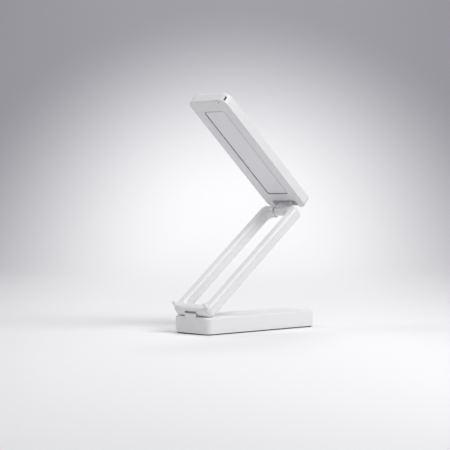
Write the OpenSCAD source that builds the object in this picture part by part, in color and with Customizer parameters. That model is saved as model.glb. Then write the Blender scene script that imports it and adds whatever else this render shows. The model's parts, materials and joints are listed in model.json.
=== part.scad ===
// Folding desk lamp: a flat base, an open loop arm and a slab head, folded into a Z by two hinges.
// The frame is the base's: X runs from the hinge end to the free end, Y across, Z up, and the
// origin is the centre of the face that the lamp rests on.

/* [Base] */
// Length of the base housing
base_l = 185; // [165:1:205]
// Width of the base and of the arm
lamp_w = 60; // [56:1:70]
// Height of the base housing above the pad
base_h = 19.4; // [18:0.2:26]
// Corner radius of the base, seen from above
base_corner = 8; // [6:0.5:12]
// Rounding of the base's top edge
base_edge = 2.5; // [1:0.1:4]
// Wall thickness of the base housing
base_wall = 2.2; // [1.6:0.1:3]
// Height of the tray's skirt, the part of the side below the seam
skirt_h = 3.4; // [2.8:0.1:5]
// Clearance between mating plastic parts
fit_gap = 0.15; // [0.1:0.05:0.3]

/* [Anti-slip pad] */
// How far the pad stands out under the tray
pad_out = 1; // [0.6:0.1:2]
// How deep the pad is let into the tray
pad_in = 0.6; // [0.4:0.1:1]
// Distance from the base's side to the pad
pad_inset = 2; // [1.5:0.5:4]

/* [Arm] */
// Angle of the arm above the base in the rest pose
arm_angle = 37.7; // [5:0.1:85]
// Distance between the two hinge axes
arm_span = 187.2; // [170:0.2:205]
// Thickness of the arm
arm_t = 14; // [13:0.5:18]
// Corner radius of the arm's outline
arm_corner = 8; // [6:0.5:12]
// Rounding of the arm's long edges
arm_edge = 3; // [1:0.1:3.5]
// Width of each rail of the loop
rail_w = 11.2; // [11:0.1:14]
// Corner radius of the loop's opening
loop_corner = 7; // [4:0.5:12]
// Thickness of the arm's front half, down to the seam
front_t = 4; // [3.6:0.1:4.6]
// How far the arm's top end reaches past the upper hinge axis
arm_tip = 4.2; // [3.8:0.1:6]

/* [Ledge hooks] */
// Width of a hook
hook_w = 5.4; // [3:0.1:8]
// Height of a hook above the arm's front face
hook_h = 6.3; // [4:0.1:7.5]
// Thickness of a hook
hook_t = 2.4; // [2:0.1:3]
// Outward lean of a hook
hook_lean = 4; // [0:1:8]
// Distance from the lower hinge axis to the hook's outer face
hook_back = 2.7; // [2.4:0.1:4]

/* [Hinges] */
// Width of the base's hinge lug
lug_w = 18.6; // [16:0.2:22]
// Width of the head's hinge neck
neck_w = 17.4; // [15:0.2:22]
// Radius of the base's hinge barrel, and half the thickness of the lug and the neck
barrel_r = 3.4; // [3.2:0.1:3.6]
// Radius of the head's hinge knuckle, which shows between the arm's upper prongs
knuckle_r = 5.2; // [4.2:0.1:5.6]
// Radius of the hinge pins
pin_r = 1.6; // [1.4:0.05:1.8]
// Radius of the cable passage through a pin
pin_hollow_r = 0.9; // [0.8:0.05:1]
// Length of a hinge pin
pin_l = 43; // [40:0.5:44]
// Running clearance round a pin
pin_gap = 0.05; // [0.03:0.01:0.08]
// Thickness of a friction washer
washer_t = 0.6; // [0.4:0.1:0.8]
// Clearance between moving plastic parts
move_gap = 0.3; // [0.2:0.05:0.4]
// Gap between the folded arm and the base
fold_gap = 0.5; // [0.3:0.1:1.5]

/* [Head] */
// Angle of the head above the horizontal in the rest pose
head_angle = 41.3; // [10:0.1:80]
// Gap between the folded head's end and the hooks
stop_gap = 2.5; // [0.6:0.1:4]
// How far the head reaches past the upper hinge axis
head_past = 5.6; // [3.6:0.1:6.4]
// How far each side of the head stands out past the arm
head_side = 1.5; // [0.5:0.1:3]
// Thickness of the head
head_t = 13; // [12.4:0.1:16]
// Height of the head's underside above the upper hinge axis
head_drop = 12.2; // [10.5:0.1:14]
// Corner radius of the head's outline
head_corner = 9; // [8.5:0.5:11]
// Rounding of the head's top edge
head_edge = 2; // [1:0.1:4]
// Rounding of the head's lower edge
head_rim_edge = 0.7; // [0.3:0.1:0.9]
// Wall thickness of the head shell
head_wall = 1.6; // [1.4:0.1:2]
// Thickness of the bezel round the window
bezel_t = 1.6; // [1.5:0.1:2.2]

/* [Window] */
// Distance from the head's free end to the light window
window_end = 18.5; // [16:0.5:24]
// Distance from the window to the upper hinge axis
window_heel = 18.5; // [14:0.5:24]
// Distance from the head's side to the window
window_side = 14.3; // [12:0.1:16]
// Corner radius of the window
window_corner = 3.5; // [2:0.5:6]
// Bevel round the window's rim
window_bevel = 0.5; // [0.2:0.1:0.7]
// How far the diffuser's face lies behind the bezel's face
window_sink = 1.1; // [0.5:0.1:1.2]

/* [Hinge recess] */
// Length of the recess at the head's hinge end
recess_l = 12.6; // [11:0.1:13.6]
// Width of the recess
recess_w = 40; // [36:0.5:46]
// Depth of the recess
recess_d = 6; // [5.4:0.1:6.6]

/* [Power button] */
// Length of the button, across the head's thickness
button_l = 5.6; // [4.6:0.1:6]
// Width of the button
button_w = 2.1; // [1.8:0.1:3.4]
// Travel of the button
button_travel = 0.5; // [0.3:0.1:0.6]
// Clearance round the button
button_gap = 0.15; // [0.1:0.05:0.2]

/* [Light engine] */
// Thickness of the diffuser's flange
diffuser_t = 1.2; // [0.8:0.1:1.6]
// How far the diffuser's flange reaches past the window
flange_w = 2.2; // [1.5:0.1:3]
// Thickness of the light guide
guide_t = 3; // [2.5:0.1:3.5]
// Thickness of the reflector sheet
sheet_t = 0.3; // [0.2:0.05:0.4]
// Number of light-emitting chips
chip_n = 18; // [10:1:24]

/* [Power parts] */
// Length of the steel ballast plate
ballast_l = 92; // [60:1:110]
// Width of the steel ballast plate
ballast_w = 44; // [30:1:46]
// Thickness of the steel ballast plate
ballast_t = 3; // [1:0.5:4]
// Length of the battery pack
battery_l = 62; // [40:1:88]
// Width of the battery pack
battery_w = 38; // [24:1:42]
// Thickness of the battery pack
battery_t = 6.5; // [4:0.5:7]
// Length of the charging board
board_l = 34; // [24:1:40]
// Width of the charging board
board_w = 30; // [20:1:34]
// Height of the charging socket's middle above the tray's underside
port_h = 9.6; // [8.6:0.1:11]

/* [Fasteners] */
// Radius of the base screws' shank
base_screw_r = 1.1; // [0.9:0.05:1.3]
// Radius of the arm and hinge screws' shank
small_screw_r = 0.85; // [0.7:0.05:0.95]

/* [Hidden] */
$fn = 48;

over = 1;                                   // how far a cut runs past the face it opens
root = 0.2;                                 // how far a boss or rib runs into the wall it stands on
screw_end = 0.2;                            // room left beyond a screw's tip
socket_r = 0.6;                             // size of a screw's hexagon socket, per shank radius
socket_depth = 0.55;                        // and its depth, per head height
seam_line = 0.3;                            // depth and half width of the shadow line at a seam

// Base
base_w = lamp_w;
floor_z = pad_out;                          // underside of the tray
seam_z = floor_z + skirt_h;                 // seam between tray and shell
base_top = floor_z + base_h;
hinge_end = -base_l / 2;
tray_t = 2.4;                               // thickness of the tray's floor
tray_top = floor_z + tray_t;
roof_z = base_top - base_wall;
lip_t = 1.4;                                // thickness of the tray's locating lip
lip_h = 3;                                  // height of the lip above the seam
tray_edge = 1;                              // rounding of the tray's lower edge
boss_r = 3.4;
boss_in = [13.5, 9];                        // from the base's end and side to a boss
boss_at = [base_l / 2 - boss_in[0], base_w / 2 - boss_in[1]];
boss_step = 2.4;                            // height of a tray boss above the tray's floor
boss_split = tray_top + boss_step;          // where a tray boss meets a shell boss
base_screw_head = [2.2, 1.6];               // radius and height of a screw head
base_screw_l = 9;
pad_l = base_l - 2 * pad_inset;
pad_w = base_w - 2 * pad_inset;
pad_corner = base_corner - pad_inset;
pad_edge = 0.4;

// Power parts
ballast_x = -14;                            // middle of the ballast and battery
ballast_corner = 3;
tape_t = 0.8;
tape_in = 4;                                // from the battery's edge to the tape
battery_corner = 3;
battery_edge = 1.5;
port = [7.4, 8.9, 3.2];                     // metal shell of a USB-C socket: depth, width, height
port_wall = 0.3;                            // thickness of that shell, and its distance from the end
port_back = 1;
tongue = [6.5, 0.7, 5];                     // contact tongue: width, height, length
tongue_at = 0.5;                            // from the shell's back to the tongue
board_t = 1.2;
board_gap = 0.2;                            // clearance between the board and the end wall
board_x = base_l / 2 - base_wall - board_gap - board_l / 2;
board_z = floor_z + port_h - port[2] / 2 - board_t;
post_in = [6, 3];                           // from the board's end and side to a post
post_r = 2;

// Lower hinge
arm_r = arm_t / 2;                          // radius of the arm's rounded lower end
pivot_x = hinge_end + arm_r;
pivot_z = base_top + fold_gap + arm_r;
slot_r = barrel_r + move_gap;
cradle_r = arm_r + move_gap;                // hollow in the lug that the arm's end turns in
lip_thin = 0.6;                             // thickness of the cradle's top edge
cradle_top = sqrt(pow(cradle_r, 2) - pow(arm_r - lip_thin, 2));
play = 0.05;                                // side play of a washer
low_slot_w = lug_w + 2 * (washer_t + play);
high_slot_w = neck_w + 2 * (washer_t + play);
washer_r = barrel_r - move_gap;
bore_r = pin_r + pin_gap;
duct_r = 1;                                 // cable duct from a hinge into a housing

// Arm, in its own frame: X along the arm from the lower hinge axis, Z out of its front face
arm_w = lamp_w;
arm_l = arm_r + arm_span + arm_tip;
seam_n = arm_r - front_t;
bridge_t = 1.2;                             // wall left between a hinge slot and the loop's opening
loop_from = slot_r + bridge_t;
loop_to = arm_span - knuckle_r;             // flush with the knuckle
loop_w = arm_w - 2 * rail_w;
arm_screw_s = 14;                           // from a hinge axis to the screws beside it
arm_screw_in = 3.7;                         // from the loop's opening to those screws
arm_screw_y = loop_w / 2 + arm_screw_in;
arm_screw_head = [1.7, 1.2];
arm_screw_sink = 3.4;                       // depth of the counterbore
front_skin = 1.6;                           // plastic left in front of a screw hole
arm_screw_l = arm_t - arm_screw_sink - arm_screw_head[1] - front_skin - screw_end;
keeper_gap = 0.5;                           // from a pin keeper's ends to the slot and the pin's end
cable_r = 0.7;
cable_gap = 0.3;                            // clearance round the cable
cell_n = 5;                                 // hollow cells in each rail, with a rib between two
cell_rib = 1.4;
cell_corner = 1.2;
cell_side = 2.8;                            // wall beside a cell
cell_floor = 2;                             // wall behind a cell
cell_from = arm_screw_s + 4;                // from a hinge axis to the first cell
cell_l = (arm_span - 2 * cell_from - (cell_n - 1) * cell_rib) / cell_n;
cell_w = rail_w - 2 * cell_side;
cell_y = (loop_w + rail_w) / 2;
cable_in = 5.2;                             // from the arm's side to the cable
cable_y = arm_w / 2 - cable_in;
cable_bend = 3;
cable_slot = cable_r + cable_gap;
cable_start = 6;                            // from the middle to the cable's ends in the pins
hook_side = 1.4;                            // from the arm's side to a hook
hook_root = 2.6;                            // how deep a hook is rooted in the front half
hook_round = 1.3;
hook_tip = hook_t * cos(hook_lean) - hook_back;   // how far a hook reaches past the lower axis

// Head, in its own frame: X towards the hinge end, Z out of its back, origin on the upper axis
head_reach = arm_span - hook_tip - stop_gap;
head_w = lamp_w + 2 * head_side;
head_l = head_reach + head_past;
head_mid = head_past - head_l / 2;
free_end = -head_reach;
seat_t = bezel_t;                           // depth of the rebate that the bezel lies in
recess_from = head_past - recess_l;
cavity_from = free_end + head_wall;
recess_wall = 2;                            // wall between the recess and the cavity
cavity_to = recess_from - recess_wall;
roof_t = 2.2;
head_roof = head_drop + head_t - roof_t;
window_l = head_reach - window_end - window_heel;
window_w = head_w - 2 * window_side;
window_gap = 0.8;                           // between the diffuser's raised face and the window
window_from = free_end + window_end;
window_mid = window_from + window_l / 2;
stack_z = head_drop + bezel_t;              // where the diffuser's flange starts
guide_z = stack_z + diffuser_t;
sheet_z = guide_z + guide_t;
rib_z = sheet_z + sheet_t;
stack_l = window_l + 2 * flange_w;
stack_w = window_w + 2 * flange_w;
chip = [2.8, 0.9, 1.4];
strip_t = 1;
guide_w = stack_w - chip[1] - strip_t;
recess_corner = 2;
neck_round = 0.8;                           // rounding of the neck's upright edges
foot_in = [0.5, 3];                         // from the recess's ends and sides to the neck's foot
foot_t = 2;
neck_foot = [recess_l - 2 * foot_in[0], recess_w - 2 * foot_in[1], foot_t];
neck_screw_in = 3.2;                        // from the neck's side to its screws
neck_screw_y = neck_w / 2 + neck_screw_in;
neck_screw_l = 4.2;                         // reach of those screws into the head
neck_screw_head = [1.6, 1];
duct_x = -1;                                // cable duct through the neck
duct_z = head_drop + recess_d + 2 * duct_r; // and on into the head's cavity
rib_n = 6;
rib_t = 1.4;

// Power button, in a frame whose X points out of the head's corner and Z along its thickness
corner_x = free_end + head_corner;
corner_y = -head_w / 2 + head_corner;
button_turn = 223;                          // direction in which the button faces, at that corner
collar_lip = 0.4;                           // how far the collar reaches past the button
button_z = head_drop + seat_t + fit_gap + collar_lip + button_l / 2;
inner_r = head_corner - head_wall;
collar_t = 0.8;
collar_back = 0.6;                          // from the shell's inner face to the collar
collar_r = inner_r - collar_back;
button_proud = 0.1;                         // how far the button stands out of the corner
stem_r = 1.1;
stem_l = 1.4;                               // length of the stem inside the switch
switch_size = [2.6, 4.6, 4.6];
switch_r = collar_r - collar_t - button_travel - move_gap;   // face of the switch's case
switch_board_size = [1, 9, 8];
lens_r = 0.8;
lens_in = 1.3;                              // from the bezel's end to the lens
lens_side = 11.6;                           // from the head's side to its middle
lens_x = free_end + head_wall + fit_gap + lens_in + lens_r;
lens_y = -head_w / 2 + lens_side;
lens_sunk = 0.05;
lens_flange = [1.3, 0.6];                   // radius and height of the lens's flange

// ---- shared shapes -------------------------------------------------------------------------

// Quarter square with its inner corner left round, taken off an edge to round it
module edge_cut(f) {
    difference() {
        square(f + over);
        circle(r = f);
    }
}

// Half section of a slab from its corner centre out to radius r, with rounded edges
module rim_section(r, h, top, bottom) {
    difference() {
        square([r, h]);
        if (top > 0) translate([r - top, h - top]) edge_cut(top);
        if (bottom > 0) translate([r - bottom, bottom]) mirror([0, 1]) edge_cut(bottom);
    }
}

// Half section of an opening that flares over rounded rims at both faces
module flare_section(r, h, f) {
    difference() {
        square([r + f, h]);
        translate([r, f]) square([f + over, h - 2 * f]);
        translate([r + f, f]) circle(r = f);
        translate([r + f, h - f]) circle(r = f);
    }
}

// Sweeps a half section round a rectangle l by w with corner radius r, and fills its middle
module sweep_rect(l, w, r, h) {
    translate([-l / 2 + r, -w / 2 + r, 0]) cube([l - 2 * r, w - 2 * r, h]);
    for (side = [0, 1]) mirror([0, side, 0])
        translate([-l / 2 + r, w / 2 - r, 0]) rotate([90, 0, 90]) linear_extrude(l - 2 * r) children();
    for (side = [0, 1]) mirror([side, 0, 0])
        translate([l / 2 - r, w / 2 - r, 0]) rotate([90, 0, 0]) linear_extrude(w - 2 * r) children();
    for (sx = [0, 1], sy = [0, 1]) mirror([sx, 0, 0]) mirror([0, sy, 0])
        translate([l / 2 - r, w / 2 - r, 0]) rotate_extrude(angle = 90) children();
}

// Plate l by w by h with rounded corners and edges, standing on z = 0
module slab(l, w, h, r, top = 0, bottom = 0) {
    sweep_rect(l, w, r, h) rim_section(r, h, top, bottom);
}

// Cutter for an opening l by w through a plate h thick, with rims rounded by f
module flared_opening(l, w, h, r, f) {
    sweep_rect(l, w, r, h) flare_section(r, h, f);
}

// Rounded plate outline
module plate_outline(l, w, r) {
    square([l - 2 * r, w], center = true);
    square([l, w - 2 * r], center = true);
    for (x = [-1, 1], y = [-1, 1]) translate([x * (l / 2 - r), y * (w / 2 - r)]) circle(r = r);
}

module across(r, l) {
    rotate([90, 0, 0]) cylinder(r = r, h = l, center = true);
}

module at_bosses() {
    for (x = [-1, 1], y = [-1, 1]) translate([x * boss_at[0], y * boss_at[1], 0]) children();
}

module arm_frame() {
    translate([pivot_x, 0, pivot_z]) rotate([0, -arm_angle, 0]) children();
}

module head_frame() {
    arm_frame() translate([arm_span, 0, 0]) rotate([0, arm_angle + head_angle, 0]) children();
}

module button_frame() {
    head_frame() translate([corner_x, corner_y, button_z]) rotate([0, 0, button_turn]) children();
}

// A round-headed screw that points up, with its head's underside on z = 0
module screw(shank_r, l, head) {
    cylinder(r = shank_r, h = l);
    translate([0, 0, -head[1]]) difference() {
        cylinder(r = head[0], h = head[1]);
        translate([0, 0, -over]) cylinder(r = shank_r * socket_r, h = over + head[1] * socket_depth, $fn = 6);
    }
}

// ---- base ----------------------------------------------------------------------------------

// Side view of the hinge lug round the lower axis: barrel, web and the cradle for the arm's end
module lug_profile() {
    circle(r = barrel_r);
    translate([-barrel_r, -arm_r - fold_gap - over]) square([2 * barrel_r, arm_r + fold_gap + over]);
    translate([-arm_r, -arm_r - fold_gap - base_edge])
        square([arm_r + barrel_r, base_edge]);
    difference() {
        translate([-arm_r, -arm_r - fold_gap - over])
            square([arm_r, arm_r + fold_gap + over - cradle_top]);
        circle(r = cradle_r);
    }
}

module base_shell() color("white") difference() {
    union() {
        difference() {
            translate([0, 0, seam_z])
                slab(base_l, base_w, base_top - seam_z, base_corner, top = base_edge, bottom = seam_line);
            translate([0, 0, seam_z - over])
                linear_extrude(roof_z - seam_z + over)
                    plate_outline(base_l - 2 * base_wall, base_w - 2 * base_wall,
                        base_corner - base_wall);
        }
        at_bosses() translate([0, 0, boss_split]) cylinder(r = boss_r, h = roof_z - boss_split + root);
        translate([pivot_x, 0, pivot_z])
            rotate([90, 0, 0]) linear_extrude(lug_w, center = true) lug_profile();
    }
    at_bosses() translate([0, 0, boss_split - over])
        cylinder(r = base_screw_r + pin_gap, h = base_screw_l - boss_step + screw_end + over);
    translate([pivot_x, 0, pivot_z]) across(bore_r, lug_w + 2 * over);
    translate([pivot_x, 0, roof_z - over])
        cylinder(r = duct_r, h = pivot_z - roof_z + over);
    translate([base_l / 2 - base_wall / 2, 0, floor_z + port_h]) rotate([90, 0, 90])
        linear_extrude(base_wall + 2 * over, center = true)
            plate_outline(port[1] + 2 * fit_gap, port[2] + 2 * fit_gap, port[2] / 2);
}

module base_tray() color("white") difference() {
    union() {
        difference() {
            translate([0, 0, floor_z])
                slab(base_l, base_w, skirt_h, base_corner, top = seam_line, bottom = tray_edge);
            translate([0, 0, tray_top]) linear_extrude(skirt_h)
                plate_outline(base_l - 2 * (base_wall + fit_gap + lip_t),
                    base_w - 2 * (base_wall + fit_gap + lip_t), base_corner - base_wall - lip_t);
        }
        translate([0, 0, seam_z - over]) difference() {
            linear_extrude(lip_h + over)
                plate_outline(base_l - 2 * (base_wall + fit_gap), base_w - 2 * (base_wall + fit_gap),
                    base_corner - base_wall - fit_gap);
            translate([0, 0, -over]) linear_extrude(lip_h + 3 * over)
                plate_outline(base_l - 2 * (base_wall + fit_gap + lip_t),
                    base_w - 2 * (base_wall + fit_gap + lip_t), base_corner - base_wall - lip_t);
        }
        at_bosses() translate([0, 0, tray_top - root]) cylinder(r = boss_r, h = boss_step + root);
        board_posts();
    }
    translate([0, 0, floor_z - over]) linear_extrude(pad_in + over)
        plate_outline(pad_l + 2 * fit_gap, pad_w + 2 * fit_gap, pad_corner);
    at_bosses() {
        translate([0, 0, floor_z]) cylinder(r = base_screw_head[0] + fit_gap, h = tray_t);
        cylinder(r = base_screw_r + fit_gap, h = boss_split + over);
    }
}

// Posts on the tray that carry the charging board
module board_posts() {
    for (x = [-1, 1], y = [-1, 1])
        translate([board_x + x * (board_l / 2 - post_in[0]), y * (board_w / 2 - post_in[1]), tray_top - root])
            cylinder(r = post_r, h = board_z - tray_top + root);
}

module anti_slip_pad() color("dimgray")
    slab(pad_l, pad_w, pad_out + pad_in, pad_corner, bottom = pad_edge);

module base_screws() color("silver")
    at_bosses() translate([0, 0, tray_top]) screw(base_screw_r, base_screw_l, base_screw_head);

module ballast_plate() color("slategray") translate([ballast_x, 0, tray_top])
    linear_extrude(ballast_t) plate_outline(ballast_l, ballast_w, ballast_corner);

module battery_tape() color("gainsboro") translate([ballast_x, 0, tray_top + ballast_t])
    linear_extrude(tape_t) square([battery_l - 2 * tape_in, battery_w - 2 * tape_in], center = true);

module battery_pack() color("lightsteelblue") translate([ballast_x, 0, tray_top + ballast_t + tape_t])
    slab(battery_l, battery_w, battery_t, battery_corner, top = battery_edge, bottom = battery_edge);

module charging_board() color("seagreen")
    translate([board_x, 0, board_z + board_t / 2]) cube([board_l, board_w, board_t], center = true);

module charging_socket() color("silver")
    translate([base_l / 2 - port[0] - port_wall, 0, floor_z + port_h]) rotate([90, 0, 90]) {
        difference() {
            linear_extrude(port[0]) plate_outline(port[1], port[2], port[2] / 2 - root);
            translate([0, 0, port_back]) linear_extrude(port[0])
                plate_outline(port[1] - 2 * port_wall, port[2] - 2 * port_wall,
                    port[2] / 2 - port_wall - root);
        }
        translate([-tongue[0] / 2, -tongue[1] / 2, tongue_at]) cube(tongue);
    }

// ---- arm -----------------------------------------------------------------------------------

// Solid outline of the arm: a slab with a fully rounded lower end and a flared opening
module arm_blank() {
    difference() {
        intersection() {
            translate([arm_l / 2 - arm_r, 0, -arm_r])
                slab(arm_l, arm_w, arm_t, arm_corner, arm_edge, arm_edge);
            union() {
                across(arm_r, arm_w + 2 * over);
                translate([0, -arm_w / 2 - over, -arm_r - over])
                    cube([arm_l, arm_w + 2 * over, arm_t + 2 * over]);
            }
        }
        translate([(loop_from + loop_to) / 2, 0, -arm_r])
            flared_opening(loop_to - loop_from, loop_w, arm_t, loop_corner, arm_edge);
        arm_seam_line();
    }
}

// Shadow line where the two halves of the arm meet, outside and in the opening
module arm_seam_line() {
    translate([0, 0, seam_n - seam_line / 2]) linear_extrude(seam_line) {
        translate([arm_l / 2 - arm_r, 0]) difference() {
            square([arm_l + 2 * over, arm_w + 2 * over], center = true);
            plate_outline(arm_l - 2 * seam_line, arm_w - 2 * seam_line, arm_corner - seam_line);
        }
        translate([(loop_from + loop_to) / 2, 0])
            plate_outline(loop_to - loop_from + 2 * seam_line, loop_w + 2 * seam_line,
                loop_corner + seam_line);
    }
}

// Space that the base's lug needs in the arm between flat and upright
module lower_slot() {
    translate([-arm_r - over, -low_slot_w / 2, -arm_r - over]) {
        cube([arm_r + over + slot_r, low_slot_w, arm_r + over]);
        cube([arm_r + over, low_slot_w, arm_r + over + slot_r]);
    }
    across(slot_r, low_slot_w);
}

// Space that the head's knuckle and neck need between the arm's upper prongs over their half turn
module upper_slot() {
    translate([loop_to - arm_edge - over, -high_slot_w / 2, -arm_r - over])
        cube([arm_edge + knuckle_r + arm_tip + 2 * over, high_slot_w, arm_t + 2 * over]);
}

// Channel with a round bottom that a hinge pin drops into from the seam
module pin_channel() {
    across(bore_r, pin_l + 2 * fit_gap);
    translate([-bore_r, -pin_l / 2 - fit_gap, 0]) cube([2 * bore_r, pin_l + 2 * fit_gap, arm_r]);
}

module at_arm_screws() {
    for (s = [arm_screw_s, arm_span - arm_screw_s], y = [-1, 1])
        translate([s, y * arm_screw_y, -arm_r + arm_screw_sink]) children();
}

// Row of hollow cells in each rail between two heights
module rail_cells(from, to) {
    for (side = [-1, 1], k = [0:cell_n - 1])
        translate([cell_from + k * (cell_l + cell_rib) + cell_l / 2, side * cell_y, from])
            linear_extrude(to - from) plate_outline(cell_l, cell_w, cell_corner);
}

// Groove for the cable, open at the seam
module cable_groove() {
    translate([-cable_slot, -cable_y - cable_slot, -cable_slot])
        cube([arm_span + 2 * cable_slot, 2 * cable_slot, arm_r]);
    for (s = [-cable_slot, arm_span - cable_bend - cable_slot]) translate([s, -cable_y, -cable_slot])
        cube([cable_bend + 2 * cable_slot, cable_y - pin_l / 2 + over, arm_r]);
}

module arm_rear() color("white") arm_frame() difference() {
    intersection() {
        arm_blank();
        translate([-arm_r - over, -arm_w / 2 - over, -arm_r - over])
            cube([arm_span + 2 * arm_t, arm_w + 2 * over, arm_r + over + seam_n]);
    }
    lower_slot();
    upper_slot();
    pin_channel();
    translate([arm_span, 0, 0]) pin_channel();
    rail_cells(-arm_r + cell_floor, seam_n + over);
    cable_groove();
    at_arm_screws() {
        translate([0, 0, -arm_screw_sink - over])
            cylinder(r = arm_screw_head[0] + fit_gap, h = arm_screw_sink + arm_screw_head[1] + over);
        cylinder(r = small_screw_r + fit_gap, h = arm_t);
    }
}

// Rib under the front half that keeps a hinge pin in its channel
module pin_keeper(slot_w) {
    for (side = [0, 1]) mirror([0, side, 0]) translate([-pin_r, slot_w / 2 + keeper_gap, bore_r])
        cube([2 * pin_r, (pin_l - slot_w) / 2 - 2 * keeper_gap, seam_n - bore_r + root]);
}

// Ledge hook at one lower corner of the arm's front face
module hook() {
    l = hook_h + hook_root;
    translate([-hook_back, arm_w / 2 - hook_side - hook_w / 2, arm_r - hook_root])
        rotate([0, -hook_lean, 0]) rotate([90, 0, 90]) linear_extrude(hook_t) difference() {
            translate([-hook_w / 2, 0]) square([hook_w, l]);
            for (side = [0, 1]) mirror([side, 0])
                translate([hook_w / 2 - hook_round, l - hook_round]) edge_cut(hook_round);
        }
}

module arm_front() color("white") arm_frame() difference() {
    union() {
        intersection() {
            arm_blank();
            translate([-arm_r - over, -arm_w / 2 - over, seam_n])
                cube([arm_span + 2 * arm_t, arm_w + 2 * over, arm_r + over]);
        }
        pin_keeper(low_slot_w);
        translate([arm_span, 0, 0]) pin_keeper(high_slot_w);
        for (side = [0, 1]) mirror([0, side, 0]) hook();
    }
    lower_slot();
    upper_slot();
    rail_cells(seam_n - over, arm_r - front_skin);
    at_arm_screws() translate([0, 0, seam_n + arm_r - arm_screw_sink - over])
        cylinder(r = small_screw_r + pin_gap, h = over + front_t - front_skin);
}

module arm_screws() color("silver") arm_frame()
    at_arm_screws() translate([0, 0, arm_screw_head[1]]) screw(small_screw_r, arm_screw_l, arm_screw_head);

// Quarter bend of the cable in the arm's plane
module cable_turn() {
    rotate_extrude(angle = 90) translate([cable_bend, 0]) circle(r = cable_r);
}

module arm_cable() color("dimgray") arm_frame() {
    run_from = cable_y - cable_bend;
    for (s = [0, arm_span]) translate([s, -(run_from + cable_start) / 2, 0])
        across(cable_r, run_from - cable_start);
    translate([cable_bend, -run_from, 0]) rotate(180) cable_turn();
    translate([arm_span - cable_bend, -run_from, 0]) rotate(270) cable_turn();
    translate([cable_bend, -cable_y, 0]) rotate([0, 90, 0])
        cylinder(r = cable_r, h = arm_span - 2 * cable_bend);
}

module hinge_pin() {
    difference() {
        across(pin_r, pin_l);
        across(pin_hollow_r, pin_l + 2 * over);
    }
}

module lower_hinge_pin() color("silver") arm_frame() hinge_pin();

module upper_hinge_pin() color("silver") arm_frame() translate([arm_span, 0, 0]) hinge_pin();

// Friction washers on both sides of a barrel w wide
module washer_pair(w) {
    for (y = [-1, 1]) translate([0, y * (w / 2 + washer_t / 2 + play / 2), 0]) difference() {
        across(washer_r, washer_t);
        across(bore_r, washer_t + over);
    }
}

module lower_washers() color("darkgray") arm_frame() washer_pair(lug_w);

module upper_washers() color("darkgray") arm_frame() translate([arm_span, 0, 0]) washer_pair(neck_w);

// ---- head ----------------------------------------------------------------------------------

// Recess at the hinge end, open to the underside and the end
module hinge_recess() {
    translate([recess_from + recess_l / 2 + recess_corner, 0, head_drop - over])
        linear_extrude(recess_d + over) plate_outline(recess_l + 2 * recess_corner, recess_w, recess_corner);
}

module head_shell() color("white") {
    difference() {
        head_frame() difference() {
            translate([head_mid, 0, head_drop])
                slab(head_l, head_w, head_t, head_corner, head_edge, head_rim_edge);
            translate([head_mid, 0, head_drop - over]) linear_extrude(seat_t + over)
                plate_outline(head_l - 2 * head_wall, head_w - 2 * head_wall, inner_r);
            translate([(cavity_from + cavity_to) / 2, 0, head_drop + seat_t - over])
                linear_extrude(head_roof - head_drop - seat_t + over)
                    plate_outline(cavity_to - cavity_from, head_w - 2 * head_wall, inner_r);
            hinge_recess();
            at_neck_screws() translate([0, 0, -over])
                cylinder(r = small_screw_r + pin_gap, h = over + neck_screw_l + screw_end);
            translate([duct_x, 0, head_drop]) cylinder(r = duct_r, h = duct_z - head_drop + duct_r);
            translate([cavity_to - over, 0, duct_z]) rotate([0, 90, 0])
                cylinder(r = duct_r, h = duct_x - cavity_to + over);
        }
        button_frame() translate([inner_r - over, -button_w / 2 - button_gap, -button_l / 2 - button_gap])
            cube([head_wall + 2 * over, button_w + 2 * button_gap, button_l + 2 * button_gap]);
    }
    head_frame() light_ribs();
}

// Ribs under the roof that press the light stack onto the bezel
module light_ribs() {
    for (k = [0:rib_n - 1])
        translate([window_from + (k + 0.5) * window_l / rib_n - rib_t / 2, -window_w / 2, rib_z])
            cube([rib_t, window_w, head_roof - rib_z + root]);
}

// Half section of the window's opening, bevelled at the bezel's face
module window_section() {
    square([window_corner, bezel_t + 2 * over]);
    polygon([[0, 0], [window_corner + window_bevel + over, 0], [window_corner, over + window_bevel]]);
}

module head_bezel() color("white") head_frame() difference() {
    translate([head_mid, 0, head_drop]) linear_extrude(bezel_t)
        plate_outline(head_l - 2 * (head_wall + fit_gap), head_w - 2 * (head_wall + fit_gap),
            inner_r - fit_gap);
    translate([window_mid, 0, head_drop - over])
        sweep_rect(window_l, window_w, window_corner, bezel_t + 2 * over) window_section();
    translate([lens_x, lens_y, head_drop - over]) cylinder(r = lens_r + pin_gap, h = bezel_t + 2 * over);
    hinge_recess();
}

module diffuser() color("whitesmoke") head_frame() {
    translate([window_mid, 0, stack_z]) linear_extrude(diffuser_t)
        plate_outline(stack_l, stack_w, window_corner);
    translate([window_mid, 0, head_drop + window_sink]) linear_extrude(bezel_t - window_sink + root)
        plate_outline(window_l - 2 * window_gap, window_w - 2 * window_gap, window_corner - window_gap);
}

module light_guide() color("azure") head_frame()
    translate([window_mid - stack_l / 2, -stack_w / 2, guide_z]) cube([stack_l, guide_w, guide_t]);

module reflector_sheet() color("snow") head_frame()
    translate([window_mid, 0, sheet_z + sheet_t / 2]) cube([stack_l, stack_w, sheet_t], center = true);

module led_strip() color("ivory") head_frame()
    translate([window_mid - stack_l / 2, stack_w / 2 - strip_t, guide_z]) cube([stack_l, strip_t, guide_t]);

module led_chips() color("khaki") head_frame() {
    pitch = window_l / chip_n;
    for (k = [0:chip_n - 1])
        translate([window_from + (k + 0.5) * pitch, stack_w / 2 - strip_t - chip[1] / 2,
            guide_z + guide_t / 2]) cube(chip, center = true);
}

module at_neck_screws() {
    for (y = [-1, 1])
        translate([recess_from + recess_l / 2, y * neck_screw_y, head_drop + recess_d]) children();
}

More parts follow.
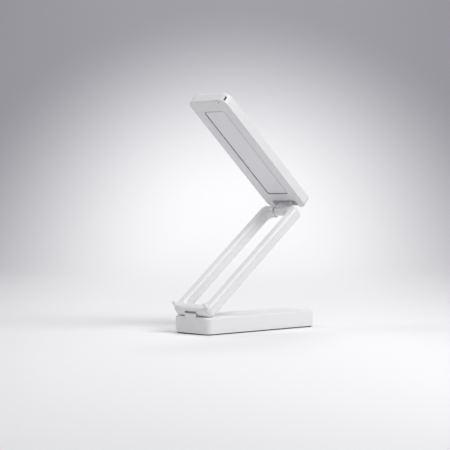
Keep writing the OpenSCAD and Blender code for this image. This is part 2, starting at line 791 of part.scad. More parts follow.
module hinge_neck() color("white") head_frame() difference() {
    union() {
        across(knuckle_r, neck_w);
        linear_extrude(head_drop + recess_d) plate_outline(2 * barrel_r, neck_w, neck_round);
        translate([recess_from + foot_in[0], -neck_foot[1] / 2, head_drop + recess_d - foot_t])
            cube(neck_foot);
    }
    across(bore_r, neck_w + 2 * over);
    translate([duct_x, 0, 0]) cylinder(r = duct_r, h = head_drop + recess_d + over);
    at_neck_screws() translate([0, 0, -foot_t - over])
        cylinder(r = small_screw_r + fit_gap, h = foot_t + 2 * over);
}

module neck_screws() color("silver") head_frame()
    at_neck_screws() translate([0, 0, -foot_t]) screw(small_screw_r, foot_t + neck_screw_l, neck_screw_head);

module switch_board() color("seagreen") button_frame()
    translate([switch_r - switch_size[0] - switch_board_size[0], -switch_board_size[1] / 2,
        head_roof - button_z - switch_board_size[2]]) cube(switch_board_size);

module push_switch() color("black") button_frame() difference() {
    translate([switch_r - switch_size[0] / 2, 0, 0]) cube(switch_size, center = true);
    translate([switch_r - stem_l - button_travel, 0, 0]) rotate([0, 90, 0])
        cylinder(r = stem_r + button_gap, h = stem_l + button_travel + over);
}

module indicator_lens() color("dimgray") head_frame() translate([lens_x, lens_y, head_drop]) {
    translate([0, 0, lens_sunk]) cylinder(r = lens_r, h = bezel_t - lens_sunk + root);
    translate([0, 0, seat_t]) cylinder(r = lens_flange[0], h = lens_flange[1]);
}

module power_button() color("black") button_frame() {
    intersection() {
        translate([collar_r - root, -button_w / 2, -button_l / 2]) cube([head_corner, button_w, button_l]);
        cylinder(r = head_corner + button_proud, h = 2 * button_l, center = true);
    }
    translate([collar_r - collar_t, -button_w / 2 - collar_lip, -button_l / 2 - collar_lip])
        cube([collar_t, button_w + 2 * collar_lip, button_l + 2 * collar_lip]);
    translate([switch_r - stem_l + button_gap, 0, 0]) rotate([0, 90, 0])
        cylinder(r = stem_r, h = collar_r - switch_r + stem_l - button_gap - root);
}

base_shell();
base_tray();
anti_slip_pad();
base_screws();
ballast_plate();
battery_tape();
battery_pack();
charging_board();
charging_socket();
arm_rear();
arm_front();
arm_screws();
arm_cable();
lower_hinge_pin();
upper_hinge_pin();
lower_washers();
upper_washers();
head_shell();
head_bezel();
diffuser();
light_guide();
reflector_sheet();
led_strip();
led_chips();
hinge_neck();
neck_screws();
switch_board();
push_switch();
indicator_lens();
power_button();
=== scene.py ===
import json
import math

import bmesh
import bpy
from mathutils import Matrix, Vector


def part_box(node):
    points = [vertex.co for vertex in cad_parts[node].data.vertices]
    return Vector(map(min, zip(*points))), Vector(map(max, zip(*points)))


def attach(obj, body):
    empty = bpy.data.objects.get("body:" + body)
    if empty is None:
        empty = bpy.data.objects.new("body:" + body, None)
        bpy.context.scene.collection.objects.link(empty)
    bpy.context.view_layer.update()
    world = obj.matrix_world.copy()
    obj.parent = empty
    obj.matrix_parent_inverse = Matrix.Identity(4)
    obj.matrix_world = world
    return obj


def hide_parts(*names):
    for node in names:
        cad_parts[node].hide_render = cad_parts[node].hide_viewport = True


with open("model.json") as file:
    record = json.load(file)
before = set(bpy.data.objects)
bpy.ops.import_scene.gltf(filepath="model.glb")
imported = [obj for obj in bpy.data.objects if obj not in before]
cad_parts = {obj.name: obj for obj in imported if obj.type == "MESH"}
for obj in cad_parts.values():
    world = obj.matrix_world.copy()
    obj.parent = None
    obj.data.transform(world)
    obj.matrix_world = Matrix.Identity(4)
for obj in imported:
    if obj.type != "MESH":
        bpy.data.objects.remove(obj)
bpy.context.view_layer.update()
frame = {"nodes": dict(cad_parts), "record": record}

# ---- base housing --------------------------------------------------------------------------
# The tray and the shell of the base are injection moulded in white ABS with a fine satin grain.
# They meet at a low seam, and four screws under the pad hold them together.


def skin_group(name, inputs):
    """An empty node group with these inputs, which puts out a tone, a gloss and a height."""
    group = bpy.data.node_groups.new(name, "ShaderNodeTree")
    colour, number = "NodeSocketColor", "NodeSocketFloat"
    face, new = group.interface, group.nodes.new
    for label, value in inputs.items():
        kind, value = (colour, (*value, 1)) if isinstance(value, tuple) else (number, value)
        face.new_socket(name=label, in_out="INPUT", socket_type=kind).default_value = value
    for label, kind in (("Tone", colour), ("Gloss", number), ("Height", number)):
        face.new_socket(name=label, in_out="OUTPUT", socket_type=kind)
    place = new("ShaderNodeTexCoord").outputs["Object"]
    return group, new("NodeGroupInput"), new("NodeGroupOutput"), place


def join_skin(group, given, out, tones, blend, shine, height):
    """Joins a group's textures to its outputs: two blended tones, a range of gloss, a height."""
    tone, gloss = group.nodes.new("ShaderNodeMix"), group.nodes.new("ShaderNodeMapRange")
    tone.data_type = "RGBA"
    for start, end in (
        (blend, tone.inputs["Factor"]),
        (given.outputs[tones[0]], tone.inputs["A"]),
        (given.outputs[tones[1]], tone.inputs["B"]),
        (shine, gloss.inputs["Value"]),
        (given.outputs["Smooth"], gloss.inputs["To Min"]),
        (given.outputs["Rough"], gloss.inputs["To Max"]),
        (tone.outputs["Result"], out.inputs["Tone"]),
        (gloss.outputs["Result"], out.inputs["Gloss"]),
        (height, out.inputs["Height"]),
    ):
        group.links.new(start, end)
    return group


def grain_group():
    """Tone, gloss and height of a moulded skin: broad flow patches, smears, spark-eroded grain."""
    group, given, out, place = skin_group("moulded_grain", {
        "Light tone": (0.9, 0.9, 0.9), "Deep tone": (0.85, 0.85, 0.85), "Smooth": 0.35,
        "Rough": 0.5, "Patch scale": 40.0, "Grain scale": 4000.0})
    link, smear_scale = group.links.new, 210
    patch, smear, grain = (group.nodes.new("ShaderNodeTexNoise") for count in range(3))
    for node, detail in ((patch, 3), (smear, 5), (grain, 2)):
        node.inputs["Detail"].default_value = detail
        link(place, node.inputs["Vector"])
    link(given.outputs["Patch scale"], patch.inputs["Scale"])
    link(given.outputs["Grain scale"], grain.inputs["Scale"])
    smear.inputs["Scale"].default_value = smear_scale
    return join_skin(group, given, out, ("Light tone", "Deep tone"), patch.outputs["Fac"],
                     smear.outputs["Fac"], grain.outputs["Fac"])


GRAIN = grain_group()


def shader_of(material):
    """The shader on which a material's own settings are made."""
    return material.node_tree.nodes["Principled BSDF"]


def skinned(name, group, values, depth, strength):
    """A material whose colour, roughness and relief come from a group of textures."""
    made = bpy.data.materials.new(name)
    made.use_nodes = True
    tree, shader = made.node_tree, shader_of(made)
    skin, bump = tree.nodes.new("ShaderNodeGroup"), tree.nodes.new("ShaderNodeBump")
    skin.node_tree = group
    for label, value in values.items():
        skin.inputs[label].default_value = (*value, 1) if isinstance(value, tuple) else value
    bump.inputs["Strength"].default_value = strength
    bump.inputs["Distance"].default_value = depth
    tree.links.new(skin.outputs["Tone"], shader.inputs["Base Color"])
    tree.links.new(skin.outputs["Gloss"], shader.inputs["Roughness"])
    tree.links.new(skin.outputs["Height"], bump.inputs["Height"])
    tree.links.new(bump.outputs["Normal"], shader.inputs["Normal"])
    return made


def moulded(name, light, deep, smooth, rough, patch=40, grain=4000, depth=0.00001, strength=0.1):
    """A plastic, rubber or foam finish made with the moulded grain."""
    return skinned(name, GRAIN, {"Light tone": light, "Deep tone": deep, "Smooth": smooth,
                                 "Rough": rough, "Patch scale": patch, "Grain scale": grain},
                   depth, strength)


def finish_node(material, *names):
    """Gives the frame's own nodes a better material."""
    for name in names:
        for slot in frame["nodes"][name].material_slots:
            slot.material = material


white_abs = moulded("white_abs", light=(0.80, 0.80, 0.805), deep=(0.77, 0.772, 0.78),
                    smooth=0.34, rough=0.46)
shader_of(white_abs).inputs["Specular IOR Level"].default_value = 0.45
finish_node(white_abs, "base_shell", "base_tray")

# ---- ballast plate -------------------------------------------------------------------------
# A plain plate with rounded corners, cut from rolled steel. It lies on the tray's floor under the
# battery, so that the lamp can't tip.


def metal_group():
    """Tone, gloss and height of worked metal: drawn lines along one axis and a cloudy plating."""
    group, given, out, place = skin_group("worked_metal", {
        "Bright tone": (0.7, 0.7, 0.72), "Dull tone": (0.5, 0.5, 0.52), "Smooth": 0.2,
        "Rough": 0.4, "Line scale": 1500.0})
    link, draw_out, cloud_scale, cloud_detail = group.links.new, 0.04, 160, 4
    drawn = group.nodes.new("ShaderNodeMapping")
    lines, cloud = (group.nodes.new("ShaderNodeTexNoise") for count in range(2))
    drawn.inputs["Scale"].default_value = (1, draw_out, 1)
    cloud.inputs["Scale"].default_value = cloud_scale
    cloud.inputs["Detail"].default_value = cloud_detail
    link(place, drawn.inputs["Vector"])
    link(drawn.outputs["Vector"], lines.inputs["Vector"])
    link(given.outputs["Line scale"], lines.inputs["Scale"])
    link(place, cloud.inputs["Vector"])
    return join_skin(group, given, out, ("Bright tone", "Dull tone"), cloud.outputs["Fac"],
                     lines.outputs["Fac"], lines.outputs["Fac"])


METAL = metal_group()


def worked(name, bright, dull, smooth, rough, lines=1500):
    """A bare or plated metal finish."""
    made = skinned(name, METAL, {"Bright tone": bright, "Dull tone": dull, "Smooth": smooth,
                                 "Rough": rough, "Line scale": lines},
                   depth=0.000004, strength=0.15)
    shader_of(made).inputs["Metallic"].default_value = 1.0
    return made


rolled_steel = worked("rolled_steel", bright=(0.42, 0.43, 0.45), dull=(0.30, 0.31, 0.33),
                      smooth=0.35, rough=0.55, lines=700)
finish_node(rolled_steel, "ballast_plate")

# ---- battery -------------------------------------------------------------------------------
# A flat cell wrapped in pale shrink film. A pad of closed-cell foam tape sticks it to the ballast
# plate.

foam = moulded("foam_tape", light=(0.80, 0.80, 0.76), deep=(0.70, 0.70, 0.66),
               smooth=0.85, rough=0.95, patch=150, grain=1800, depth=0.0002, strength=0.6)
finish_node(foam, "battery_tape")
shrink_film = moulded("shrink_film", light=(0.44, 0.52, 0.62), deep=(0.38, 0.46, 0.56),
                      smooth=0.18, rough=0.4, patch=60, grain=260, depth=0.0002, strength=0.3)
finish_node(shrink_film, "battery_pack")

# ---- charging board ------------------------------------------------------------------------
# A green two-sided board on four posts of the tray. It carries the charging chip, its coil and the
# capacitors, each soldered down at both ends.


def board_group():
    """Tone, gloss and height of solder mask over copper tracks."""
    group, given, out, place = skin_group("solder_mask", {
        "Mask tone": (0.01, 0.12, 0.04), "Track tone": (0.03, 0.2, 0.07), "Smooth": 0.25,
        "Rough": 0.45, "Track scale": 420.0})
    link, haze_scale, track_from, track_to = group.links.new, 300, 0.35, 0.45
    track, edge = group.nodes.new("ShaderNodeTexVoronoi"), group.nodes.new("ShaderNodeMapRange")
    haze = group.nodes.new("ShaderNodeTexNoise")
    track.distance = "CHEBYCHEV"
    haze.inputs["Scale"].default_value = haze_scale
    edge.inputs["From Min"].default_value = track_from
    edge.inputs["From Max"].default_value = track_to
    link(place, track.inputs["Vector"])
    link(place, haze.inputs["Vector"])
    link(given.outputs["Track scale"], track.inputs["Scale"])
    link(track.outputs["Distance"], edge.inputs["Value"])
    return join_skin(group, given, out, ("Mask tone", "Track tone"), edge.outputs["Result"],
                     haze.outputs["Fac"], edge.outputs["Result"])


MASK = board_group()
mask_depth, mask_strength = 0.00003, 0.4
green_mask = skinned("green_mask", MASK, {}, mask_depth, mask_strength)
finish_node(green_mask, "charging_board")
epoxy = moulded("black_epoxy", light=(0.03, 0.03, 0.032), deep=(0.02, 0.02, 0.022),
                smooth=0.4, rough=0.6, patch=200, grain=5000)
ceramic = moulded("ceramic", light=(0.42, 0.33, 0.24), deep=(0.36, 0.28, 0.20),
                  smooth=0.35, rough=0.5, patch=400, grain=5000)
solder = worked("solder", bright=(0.75, 0.75, 0.76), dull=(0.62, 0.62, 0.64),
                smooth=0.18, rough=0.35, lines=900)


def new_piece(name, shape, body, slot, *materials, smooth=35):
    """Closes a bmesh into a piece of its own that rides on a body."""
    mesh = bpy.data.meshes.new(name)
    bmesh.ops.recalc_face_normals(shape, faces=shape.faces)
    limit = math.radians(smooth)
    for face in shape.faces:
        face.smooth = True
    for edge in shape.edges:
        edge.smooth = edge.is_manifold and edge.calc_face_angle(0) < limit
    shape.to_mesh(mesh)
    shape.free()
    for material in materials:
        mesh.materials.append(material)
    piece = bpy.data.objects.new(name, mesh)
    bpy.context.scene.collection.objects.link(piece)
    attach(piece, body)
    return piece


def add_block(shape, place, size, edge, index=0):
    """Adds one block with bevelled edges, standing on z = 0 of its place."""
    first = set(shape.faces)
    block = bmesh.ops.create_cube(shape, size=1)["verts"]
    bmesh.ops.scale(shape, vec=size, verts=block)
    bmesh.ops.translate(shape, vec=(0, 0, size[2] / 2), verts=block)
    bmesh.ops.transform(shape, matrix=place, verts=block)
    edges = list({link for vertex in block for link in vertex.link_edges})
    bmesh.ops.bevel(shape, geom=edges, affect="EDGES", offset=edge, segments=2, profile=0.5,
                    material=-1)
    for face in set(shape.faces) - first:
        face.material_index = index


board_low, board_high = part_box("charging_board")
board_mid = (board_low + board_high) / 2
in_epoxy, in_ceramic, in_solder = 0, 1, 2
part_edge, joint_edge, joint_l, joint_out = 0.00012, 0.00008, 0.0005, 0.0002
joint_w, joint_h = 0.9, 0.5                                 # per width and height of the part
shape = bmesh.new()
for x, y, length, width, height, kind in (
    (-0.004, 0.004, 0.005, 0.005, 0.0009, in_epoxy),        # charging chip
    (-0.006, -0.007, 0.0048, 0.0048, 0.0022, in_epoxy),     # coil
    (-0.0125, 0.008, 0.0032, 0.0016, 0.0011, in_ceramic),   # capacitors
    (-0.0125, 0.0105, 0.0032, 0.0016, 0.0011, in_ceramic),
    (0.0015, -0.010, 0.0016, 0.0032, 0.0011, in_ceramic),
    (0.0015, 0.0105, 0.0032, 0.0016, 0.0011, in_ceramic),
):
    top = Matrix.Translation((board_mid.x + x, board_mid.y + y, board_high.z))
    add_block(shape, top, (length, width, height), part_edge, kind)
    for end in (-1, 1):
        foot = top @ Matrix.Translation((end * (length / 2 + joint_out), 0, 0))
        add_block(shape, foot, (joint_l, width * joint_w, height * joint_h), joint_edge, in_solder)
new_piece("charging_parts", shape, "base", "black_plastic", epoxy, ceramic, solder)

# ---- charging socket -----------------------------------------------------------------------
# A drawn and nickel plated oval shell, soldered to the board's edge and flush in the base's free
# end. Its tongue carries twelve gold plated contacts on each face.

nickel = worked("nickel_plate", bright=(0.70, 0.69, 0.67), dull=(0.60, 0.59, 0.57),
                smooth=0.14, rough=0.3, lines=1800)
gold = worked("gold_plate", bright=(0.83, 0.62, 0.26), dull=(0.74, 0.53, 0.2),
              smooth=0.2, rough=0.34, lines=2500)
finish_node(nickel, "charging_socket")
socket_low, socket_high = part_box("charging_socket")
tongue_z, tongue_t = (socket_low.z + socket_high.z) / 2, 0.0007
contact_n, contact_pitch, contact_in = 12, 0.0005, 0.0043
contact_size, contact_edge = (0.0034, 0.00026, 0.00004), 0.000008
shape = bmesh.new()
for side in (-1, 1):
    for count in range(contact_n):
        y = (count - (contact_n - 1) / 2) * contact_pitch
        place = Matrix.Translation((socket_high.x - contact_in, y, tongue_z + side * tongue_t / 2))
        add_block(shape, place @ Matrix.Diagonal((1, 1, side, 1)), contact_size, contact_edge)
new_piece("socket_contacts", shape, "base", "socket_steel", gold, smooth=10)

# ---- base screws ---------------------------------------------------------------------------
# Four zinc plated self-tapping screws with hexagon sockets, driven up through the tray into the
# shell's bosses before the pad goes on.

zinc = worked("zinc_plate", bright=(0.72, 0.73, 0.76), dull=(0.55, 0.57, 0.61),
              smooth=0.22, rough=0.42)


def add_made(shape, made, place):
    """Puts a finished bmesh in its place and adds it to the piece's own."""
    bmesh.ops.transform(made, matrix=place, verts=made.verts)
    loose = bpy.data.meshes.new("loose")
    made.to_mesh(loose)
    made.free()
    shape.from_mesh(loose)
    bpy.data.meshes.remove(loose)


def add_screw(shape, place, shank_r, length, head_r, head_h):
    """Adds one socket screw that points along +Z of its place, with its head below the origin."""
    made = bmesh.new()
    core_r, socket_r = shank_r * 0.8, shank_r * 0.62
    socket_depth, rim = head_h * 0.45, head_h * 0.25
    pitch, lead, round_steps, thread_steps, same = 0.0006, 0.0005, 36, 20, 1e-7
    outline = [(0, -socket_depth), (socket_r, -socket_depth), (socket_r, -head_h),
               (head_r - rim, -head_h), (head_r, rim - head_h), (head_r, 0), (core_r, 0),
               (core_r, length - lead), (core_r / 3, length), (0, length)]
    points = [made.verts.new((radius, 0, height)) for radius, height in outline]
    edges = [made.edges.new(pair) for pair in zip(points, points[1:])]
    bmesh.ops.spin(made, geom=points + edges, cent=(0, 0, 0), axis=(0, 0, 1), angle=math.tau,
                   steps=round_steps, use_merge=True)
    # The round socket is drawn in to six flats.
    for vertex in made.verts:
        if abs(vertex.co.xy.length - socket_r) < same:
            turn = math.atan2(vertex.co.y, vertex.co.x) % (math.pi / 3) - math.pi / 6
            vertex.co.xy *= math.cos(math.pi / 6) / math.cos(turn)
    # The thread is a triangle that climbs round the core, with its root just inside.
    root_r = core_r * 0.98
    ridge = [made.verts.new((radius, 0, height)) for radius, height in
             ((root_r, lead), (shank_r, lead + pitch / 3), (root_r, lead + pitch * 2 / 3))]
    turns = int((length - 2.5 * lead) / pitch)
    bmesh.ops.spin(made, geom=[made.faces.new(ridge)], cent=(0, 0, 0), axis=(0, 0, 1),
                   angle=math.tau * turns, steps=thread_steps * turns,
                   dvec=(0, 0, pitch / thread_steps), use_merge=False)
    bmesh.ops.remove_doubles(made, verts=made.verts, dist=same)
    add_made(shape, made, place)


base_low, base_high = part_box("base_screws")
base_screw_r, base_screw_l, base_head_r, base_head_h = 0.0011, 0.009, 0.0022, 0.0016
shape = bmesh.new()
for x in (base_low.x + base_head_r, base_high.x - base_head_r):
    for y in (base_low.y + base_head_r, base_high.y - base_head_r):
        place = Matrix.Translation((x, y, base_low.z + base_head_h))
        add_screw(shape, place, base_screw_r, base_screw_l, base_head_r, base_head_h)
screws = new_piece("base_screw_set", shape, "base", "screw_steel", zinc)
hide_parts("base_screws")

# ---- anti-slip pad -------------------------------------------------------------------------
# A sheet of dark matt silicone with a fine pebbled skin. It is let into the tray and glued over
# the base screws.

silicone = moulded("silicone", light=(0.045, 0.045, 0.048), deep=(0.03, 0.03, 0.032),
                   smooth=0.72, rough=0.9, patch=90, grain=1400, depth=0.0001, strength=0.5)
finish_node(silicone, "anti_slip_pad")

# ---- hinge pins ----------------------------------------------------------------------------
# Two hollow pins of ground steel tube. They lie in channels of the arm, turn in the barrels of
# the base and the head, and let the cable through.

ground_steel = worked("ground_steel", bright=(0.66, 0.67, 0.69), dull=(0.56, 0.57, 0.6),
                      smooth=0.16, rough=0.3, lines=2600)
finish_node(ground_steel, "lower_hinge_pin", "upper_hinge_pin")

# ---- hinge washers -------------------------------------------------------------------------
# Thin nylon rings on the pins, punched from sheet. They are squeezed between the arm and each side
# of a barrel, which gives the hinges their friction.

nylon = moulded("nylon", light=(0.62, 0.62, 0.60), deep=(0.56, 0.56, 0.54),
                smooth=0.4, rough=0.55, patch=120, grain=3000)
finish_node(nylon, "lower_washers", "upper_washers")

# ---- arm cable -----------------------------------------------------------------------------
# A thin cable in a dark PVC sheath. It lies in a groove along one rail of the arm, from the hollow
# of the upper pin to that of the lower one.

pvc = moulded("cable_pvc", light=(0.06, 0.06, 0.065), deep=(0.045, 0.045, 0.05),
              smooth=0.5, rough=0.65, patch=150, grain=2500)
finish_node(pvc, "arm_cable")

# ---- arm halves ----------------------------------------------------------------------------
# Two halves moulded in white ABS, with ribbed cells inside each rail. They close over the pins and
# the cable, and two ledge hooks grow from the front half.

finish_node(white_abs, "arm_rear", "arm_front")

# ---- arm screws ----------------------------------------------------------------------------
# Four zinc plated screws, sunk in the rear half beside the hinges. They pull the front half down
# onto it.

hinges = {joint["name"]: Vector(joint["pos_m"])
          for joint in frame["record"]["behaviour"]["joints"] if "pos_m" in joint}
lower_axis, upper_axis = hinges["arm_fold"], hinges["head_fold"]
arm_line = upper_axis - lower_axis
arm_rise = math.atan2(arm_line.z, arm_line.x)
arm_place = Matrix.Translation(lower_axis) @ Matrix.Rotation(-arm_rise, 4, "Y")
small_screw_r, arm_screw_l, arm_head_r, arm_head_h = 0.00085, 0.0076, 0.0017, 0.0012
arm_screw_in, arm_screw_side, arm_screw_seat = 0.014, 0.0225, -0.0024
shape = bmesh.new()
for along in (arm_screw_in, arm_line.length - arm_screw_in):
    for y in (-arm_screw_side, arm_screw_side):
        place = arm_place @ Matrix.Translation((along, y, arm_screw_seat))
        add_screw(shape, place, small_screw_r, arm_screw_l, arm_head_r, arm_head_h)
screws = new_piece("arm_screw_set", shape, "arm", "screw_steel", zinc)
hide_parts("arm_screws")

# ---- head shell ----------------------------------------------------------------------------
# The lid of the head, moulded in white ABS and open below. Ribs under its roof press the light
# stack down, and a recess at its hinge end takes the neck's foot.

finish_node(white_abs, "head_shell")

# ---- hinge neck ----------------------------------------------------------------------------
# A knuckle moulded in white ABS that turns between the arm's upper prongs. Its foot lies in the
# head's recess and is held there by two zinc plated screws.

finish_node(white_abs, "hinge_neck")
head_tilt = math.radians(41.3)
head_place = Matrix.Translation(upper_axis) @ Matrix.Rotation(head_tilt, 4, "Y")
neck_screw_l, neck_head_r, neck_head_h = 0.0062, 0.0016, 0.001
neck_screw_x, neck_screw_side, neck_screw_seat = -0.0007, 0.0119, 0.0162
shape = bmesh.new()
for y in (-neck_screw_side, neck_screw_side):
    place = head_place @ Matrix.Translation((neck_screw_x, y, neck_screw_seat))
    add_screw(shape, place, small_screw_r, neck_screw_l, neck_head_r, neck_head_h)
screws = new_piece("neck_screw_set", shape, "head", "screw_steel", zinc)
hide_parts("neck_screws")

# ---- neck seal -----------------------------------------------------------------------------
# Grey felt, cut in four strips and glued into the recess round the neck. It lies over the foot and
# its screws. The felt's grey is painted shade: it stands in for the shadow in the gaps beside the
# neck.


def local_box(node, place):
    """A node's lowest and highest corners in a frame of its own."""
    back = place.inverted()
    points = [back @ vertex.co for vertex in frame["nodes"][node].data.vertices]
    return (Vector(min(point[axis] for point in points) for axis in range(3)),
            Vector(max(point[axis] for point in points) for axis in range(3)))


# Painted shade: this grey stands in for the shadow in the recess beside the neck.
shade_felt = moulded("painted_shade_felt", light=(0.50, 0.50, 0.51), deep=(0.42, 0.42, 0.43),
               smooth=0.9, rough=1.0, patch=300, grain=2200, depth=0.0003, strength=0.8)
foot_low, foot_high = local_box("hinge_neck", head_place)
recess_end, recess_side, foot_t = 0.0005, 0.003, 0.002
neck_r, neck_half = 0.0034, 0.0087
seal_gap, seal_t, seal_edge = 0.0003, 0.0013, 0.0002
seal_l = foot_high.x - foot_low.x + 2 * (recess_end - seal_gap)
seal_w = foot_high.y - foot_low.y + 2 * (recess_side - seal_gap)
seal_x, seal_low = (foot_low.x + foot_high.x) / 2, foot_high.z - foot_t - seal_t
hole_w = 2 * (neck_half + seal_gap)
wing_w = (seal_w - hole_w) / 2
shape = bmesh.new()
for side in (-1, 1):
    place = Matrix.Translation((seal_x, side * (seal_w - wing_w) / 2, seal_low))
    add_block(shape, head_place @ place, (seal_l, wing_w, seal_t), seal_edge)
for start, end in ((seal_x - seal_l / 2, -neck_r - seal_gap),
                   (neck_r + seal_gap, seal_x + seal_l / 2)):
    place = Matrix.Translation(((start + end) / 2, 0, seal_low))
    add_block(shape, head_place @ place, (end - start, hole_w, seal_t), seal_edge)
new_piece("neck_shade_seal", shape, "head", "foam_tape", shade_felt)

# ---- reflector sheet -----------------------------------------------------------------------
# A sheet of white polyester film, cut to the light guide's outline. It lies under the ribs of the
# head's roof and sends stray light back down.

white_film = moulded("white_film", light=(0.88, 0.88, 0.88), deep=(0.84, 0.84, 0.84),
                     smooth=0.3, rough=0.45, patch=60, grain=2600)
finish_node(white_film, "reflector_sheet")

# ---- light guide ---------------------------------------------------------------------------
# A plate of clear acrylic with polished edges, laid loose between the reflector sheet and the
# diffuser.

clear_acrylic = moulded("clear_acrylic", light=(0.93, 0.96, 0.97), deep=(0.90, 0.94, 0.96),
                        smooth=0.03, rough=0.08, patch=30, grain=900)
shader_of(clear_acrylic).inputs["Transmission Weight"].default_value = 0.9
shader_of(clear_acrylic).inputs["IOR"].default_value = 1.49
finish_node(clear_acrylic, "light_guide")

# ---- light strip ---------------------------------------------------------------------------
# A narrow board with white solder mask, set on edge beside the guide. The chips under their yellow
# phosphor domes are soldered to it and shine into the guide's edge.

white_mask = skinned("white_mask", MASK, {"Mask tone": (0.82, 0.82, 0.76), "Track scale": 500.0,
                                          "Track tone": (0.74, 0.73, 0.66)},
                     mask_depth, mask_strength)
finish_node(white_mask, "led_strip")
phosphor = moulded("phosphor", light=(0.90, 0.74, 0.22), deep=(0.84, 0.66, 0.16),
                   smooth=0.2, rough=0.35, patch=900, grain=9000)
finish_node(phosphor, "led_chips")

# ---- diffuser ------------------------------------------------------------------------------
# A plate moulded in opal acrylic with a satin face. Its flange rests on the bezel, and its raised
# face fills the window.

opal = moulded("opal_acrylic", light=(0.80, 0.80, 0.825), deep=(0.795, 0.795, 0.82),
               smooth=0.27, rough=0.285, patch=18, grain=3000, depth=0.00001, strength=0.01)
finish_node(opal, "diffuser")

# ---- window gasket -------------------------------------------------------------------------
# A ring of dark grey foam that fills the step round the diffuser's raised face. It stands a little
# proud of that face. Its dark tone is painted shade: it draws the shadow line round the window's
# edge.


def add_frame(shape, place, size, corner, border, height):
    """Adds a flat ring with rounded corners, size long and wide outside, standing on z = 0."""
    made = bmesh.new()
    plate = bmesh.ops.create_grid(made, x_segments=1, y_segments=1, size=0.5)["verts"]
    bmesh.ops.scale(made, vec=(*size, 1), verts=plate)
    bmesh.ops.bevel(made, geom=plate, affect="VERTICES", offset=corner, segments=8, profile=0.5,
                    material=-1)
    bmesh.ops.inset_region(made, faces=made.faces, thickness=border, use_boundary=True,
                           use_even_offset=True)
    middle = max(made.faces, key=lambda face: face.calc_area())
    bmesh.ops.delete(made, geom=[middle], context="FACES_ONLY")
    bmesh.ops.solidify(made, geom=made.faces, thickness=height)
    deep = min(vertex.co.z for vertex in made.verts)
    bmesh.ops.translate(made, vec=(0, 0, -deep), verts=made.verts)
    add_made(shape, made, place)


# Painted shade: the foam's dark grey draws the shadow line round the window.
painted_shade_foam = moulded("painted_shade_foam", light=(0.25, 0.25, 0.255), deep=(0.20, 0.20, 0.205),
                      smooth=0.8, rough=0.95, patch=200, grain=3000, depth=0.0001, strength=0.4)
flange_low, flange_high = local_box("diffuser", head_place)
flange_w, window_corner, window_gap, gasket_play = 0.0022, 0.0035, 0.0008, 0.00003
gasket_t, gasket_proud = 0.00105, 0.00055
gasket_size = [flange_high[axis] - flange_low[axis] - 2 * (flange_w + gasket_play)
               for axis in (0, 1)]
gasket_mid = (flange_low + flange_high) / 2
place = Matrix.Translation((gasket_mid.x, gasket_mid.y, flange_low.z - gasket_proud))
shape = bmesh.new()
add_frame(shape, head_place @ place, gasket_size, window_corner, window_gap - 2 * gasket_play,
          gasket_t)
new_piece("window_shade_gasket", shape, "head", "foam_tape", painted_shade_foam)

# ---- head bezel ----------------------------------------------------------------------------
# A frame moulded in white ABS round the window. It is pressed into the rebate of the head shell's
# open side and carries the light stack.

finish_node(white_abs, "head_bezel")

# ---- indicator lens ------------------------------------------------------------------------
# A small lens moulded in smoked acrylic over the battery indicator. It is set in the bezel from
# behind, near the free end, and its flange keeps it in.

smoked = moulded("smoked_acrylic", light=(0.05, 0.05, 0.055), deep=(0.035, 0.035, 0.04),
                 smooth=0.08, rough=0.16, patch=90, grain=4000)
finish_node(smoked, "indicator_lens")

# ---- switch and its board ------------------------------------------------------------------
# A small push switch with a matt black body. It is soldered to a green board, which stands inside
# the head's near corner behind the button.

finish_node(green_mask, "switch_board")
finish_node(epoxy, "push_switch")

# ---- power button --------------------------------------------------------------------------
# A button moulded in dark grey ABS that slides in the head's near corner. Its collar keeps it in,
# and its stem pushes the switch behind it.

dark_abs = moulded("dark_abs", light=(0.055, 0.055, 0.06), deep=(0.04, 0.04, 0.045),
                   smooth=0.38, rough=0.55, patch=120, grain=4000)
finish_node(dark_abs, "power_button")

# ---- studio sweep --------------------------------------------------------------------------
# A pale seamless sheet of paper, floor and back wall in one, which isn't part of the lamp. Its tone
# fades to grey sideways and upwards: painted shade for light falling off away from the lamps.

view_turn = math.radians(45.40)
sweep_reach, wall_h, wall_bend, sweep_shift, floor_drop = 4, 4, 2.0, 0.6, 0.0002
shape = bmesh.new()
bmesh.ops.create_grid(shape, x_segments=1, y_segments=1, size=sweep_reach)
back = [edge for edge in shape.edges if all(vertex.co.x > 0 for vertex in edge.verts)]
risen = bmesh.ops.extrude_edge_only(shape, edges=back)["geom"]
wall_top = [item for item in risen if isinstance(item, bmesh.types.BMVert)]
bmesh.ops.translate(shape, vec=(0, 0, wall_h), verts=wall_top)
bmesh.ops.bevel(shape, geom=back, affect="EDGES", offset=wall_bend, segments=32, profile=0.5,
                material=-1)
bmesh.ops.recalc_face_normals(shape, faces=shape.faces)
bmesh.ops.translate(shape, vec=(-sweep_shift, 0, -floor_drop), verts=shape.verts)
bmesh.ops.rotate(shape, cent=(0, 0, 0), matrix=Matrix.Rotation(view_turn, 3, "Z"),
                 verts=shape.verts)
for face in shape.faces:
    face.smooth = True
sweep_mesh = bpy.data.meshes.new("sweep")
shape.to_mesh(sweep_mesh)
shape.free()
sweep = bpy.data.objects.new("sweep", sweep_mesh)
bpy.context.scene.collection.objects.link(sweep)
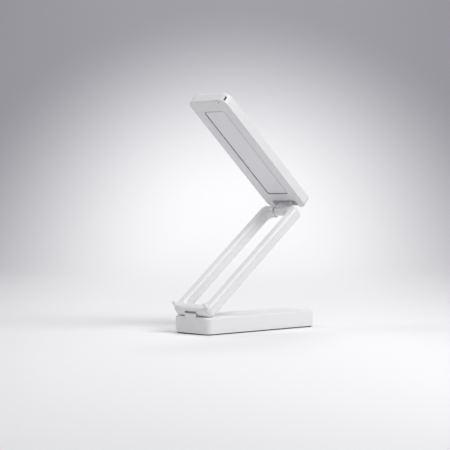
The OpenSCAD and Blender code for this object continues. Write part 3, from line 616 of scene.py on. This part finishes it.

# The grey that the paper fades to is painted shade for light falling off, not the paper's own tone.
pale, grey = (0.84, 0.84, 0.85, 1), (0.27, 0.264, 0.288, 1)
fade_depth, fade_side, fade_from, fade_to = 50, 1.1, 0.12, 0.76
paper = bpy.data.materials.new("paper_painted_falloff")
paper.use_nodes = True
tree = paper.node_tree
place, across = tree.nodes.new("ShaderNodeTexCoord"), tree.nodes.new("ShaderNodeMapping")
reach = tree.nodes.new("ShaderNodeVectorMath")
fade, tone = tree.nodes.new("ShaderNodeMapRange"), tree.nodes.new("ShaderNodeMix")
across.vector_type = "TEXTURE"
across.inputs["Rotation"].default_value = (0, 0, view_turn)
across.inputs["Scale"].default_value = (fade_depth, fade_side, 1)
reach.operation = "LENGTH"
fade.interpolation_type = "SMOOTHSTEP"
fade.inputs["From Min"].default_value = fade_from
fade.inputs["From Max"].default_value = fade_to
tone.data_type = "RGBA"
tone.inputs["A"].default_value = pale
tone.inputs["B"].default_value = grey
tree.links.new(place.outputs["Object"], across.inputs["Vector"])
tree.links.new(across.outputs["Vector"], reach.inputs[0])
tree.links.new(reach.outputs["Value"], fade.inputs["Value"])
tree.links.new(fade.outputs["Result"], tone.inputs["Factor"])
tree.links.new(tone.outputs["Result"], shader_of(paper).inputs["Base Color"])
shader_of(paper).inputs["Roughness"].default_value = 0.85
sweep_mesh.materials.append(paper)

# ---- studio light --------------------------------------------------------------------------
# A large soft box above and to the right, a weaker one on the left, and one behind that washes the
# wall. A dim even sky fills the shadows.


def softbox(name, place, aim, size, watts):
    """A square soft light that stands at a place and shines at an aim."""
    light = bpy.data.lights.new(name, "AREA")
    light.shape, light.size, light.energy = "SQUARE", size, watts
    box = bpy.data.objects.new(name, light)
    box.location = place
    box.rotation_euler = (Vector(aim) - Vector(place)).to_track_quat("-Z", "Y").to_euler()
    bpy.context.scene.collection.objects.link(box)


softbox("key", place=(0.15, -1.1, 1.35), aim=(0, 0, 0.1), size=0.9, watts=21.5)
softbox("back_fill", place=(-0.9, 1.0, 1.2), aim=(0, 0, 0.12), size=0.8, watts=7.5)
softbox("wall_wash", place=(1.2, 1.2, 2.2), aim=(1.95, 1.95, 0.1), size=1.2, watts=37)
world = bpy.context.scene.world or bpy.data.worlds.new("studio")
bpy.context.scene.world = world
world.use_nodes = True
sky = world.node_tree.nodes["Background"]
sky.inputs["Color"].default_value = (0.96, 0.96, 1.0, 1)
sky.inputs["Strength"].default_value = 0.3
bpy.context.scene.view_settings.view_transform = "Standard"

# ---- camera --------------------------------------------------------------------------------
# A long lens a little above the lamp's middle, turned to its near long side and its hinge end, and
# tipped down by a degree.

view_tilt = math.radians(-1.115)
level = math.cos(view_tilt)
ahead = Vector((math.cos(view_turn) * level, math.sin(view_turn) * level, math.sin(view_tilt)))
camera_lens = bpy.data.cameras.new("camera")
camera_lens.lens, camera_lens.sensor_width = 126.04, 36
camera = bpy.data.objects.new("camera", camera_lens)
camera.location = (-1.3579, -1.3411, 0.1638)
camera.rotation_euler = ahead.to_track_quat("-Z", "Y").to_euler()
bpy.context.scene.collection.objects.link(camera)
bpy.context.scene.camera = camera
